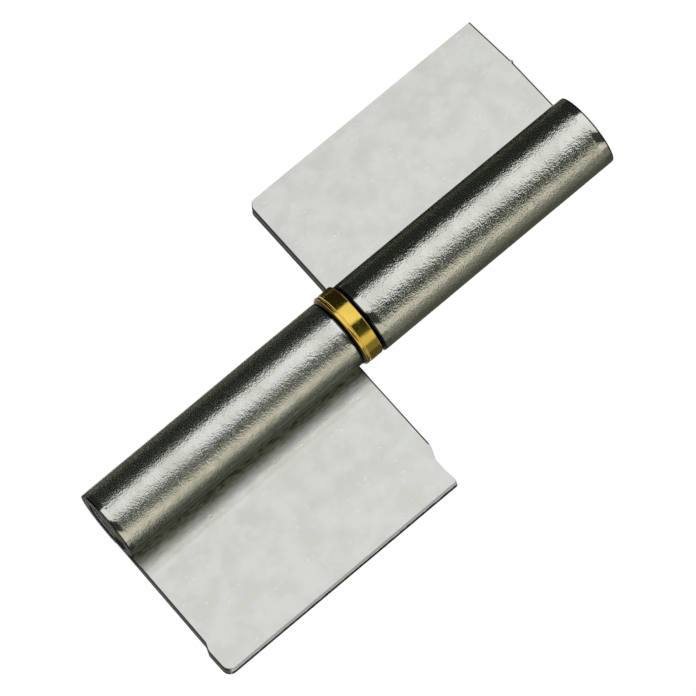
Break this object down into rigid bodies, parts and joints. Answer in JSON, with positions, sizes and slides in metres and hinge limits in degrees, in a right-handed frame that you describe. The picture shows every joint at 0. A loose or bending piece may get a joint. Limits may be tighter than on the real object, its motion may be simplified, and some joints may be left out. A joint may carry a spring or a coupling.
{
  "type": "lift off hinge",
  "caption": "Weld-on lift off hinge of flag form: rolled sheet steel leaves on a fixed pin, with a brass bearing ring between their knuckles.",
  "frame": {"origin": "on the pin's axis, at the middle of the brass ring's height", "axes": "+Z along the pin, up, the way the door leaf lifts off; +Y out of the weld faces at the backs of the leaves; +X towards the frame leaf"},
  "size_m": [0.06, 0.0132, 0.1014],
  "materials": {
    "leaf_steel": "self-coloured bright rolled sheet steel, satin on the leaves and glossier on the knuckles",
    "pin_steel": "plain drawn steel bar",
    "ring_brass": "turned brass, polished"
  },
  "bodies": {
    "frame_half": {"frame_leaf": "leaf_steel", "hinge_pin": "pin_steel"},
    "ring": {"brass_ring": "ring_brass"},
    "door_half": {"door_leaf": "leaf_steel"}
  },
  "joints": [
    {"name": "swing", "type": "hinge", "parent": "frame_half", "child": "ring", "pos_m": [0, 0, 0], "axis": [0, 0, 1], "continuous": true},
    {"name": "lift", "type": "slide", "parent": "ring", "child": "door_half", "axis": [0, 0, 1], "range_m": [0, 0.038]}
  ]
}
